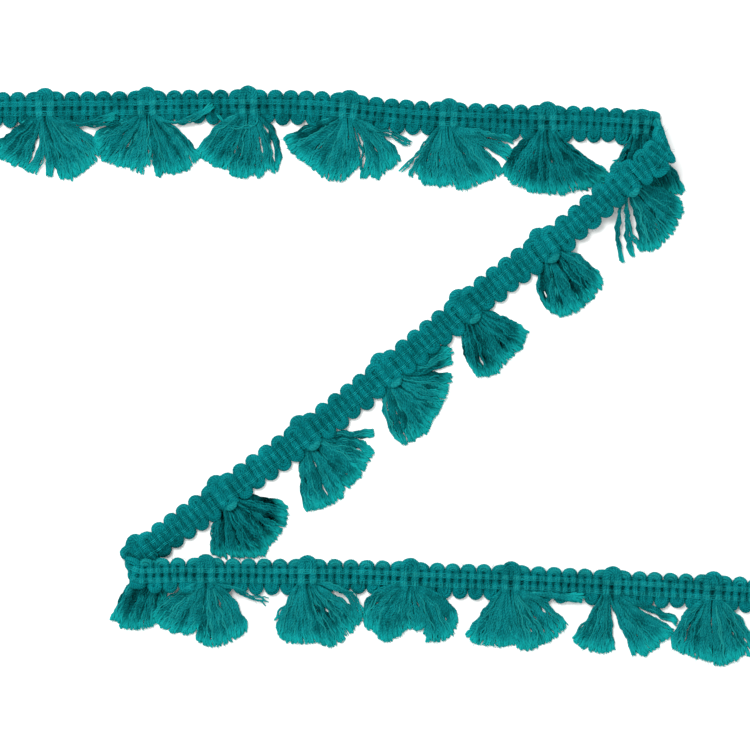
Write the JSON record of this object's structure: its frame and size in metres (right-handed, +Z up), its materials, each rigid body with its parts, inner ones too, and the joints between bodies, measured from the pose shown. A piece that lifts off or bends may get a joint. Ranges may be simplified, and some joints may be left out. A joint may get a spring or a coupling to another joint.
{
  "type": "tassel fringe trim",
  "caption": "Braided cotton header with small looped tassels, a cut length laid in a Z with two folds, for sewing along an edge.",
  "frame": {"origin": "middle of the laid-out piece, on the surface that it lies on", "axes": "+X to the right along the top and bottom runs, +Y across the surface from the bottom run towards the top run, +Z up from the surface"},
  "size_m": [0.1722, 0.1284, 0.0094],
  "materials": {
    "header_cotton": "matt plied cotton, braided",
    "tassel_cotton": "matt plied cotton, cut ends"
  },
  "bodies": {
    "root": {"header_braid": "header_cotton", "tassel_01": "tassel_cotton", "tassel_02": "tassel_cotton", "tassel_03": "tassel_cotton", "tassel_04": "tassel_cotton", "tassel_05": "tassel_cotton", "tassel_06": "tassel_cotton", "tassel_07": "tassel_cotton", "tassel_08": "tassel_cotton", "tassel_09": "tassel_cotton", "tassel_10": "tassel_cotton", "tassel_11": "tassel_cotton", "tassel_12": "tassel_cotton", "tassel_13": "tassel_cotton", "tassel_14": "tassel_cotton", "tassel_15": "tassel_cotton", "tassel_16": "tassel_cotton", "tassel_17": "tassel_cotton", "tassel_18": "tassel_cotton", "tassel_19": "tassel_cotton", "tassel_20": "tassel_cotton"}
  },
  "joints": []
}
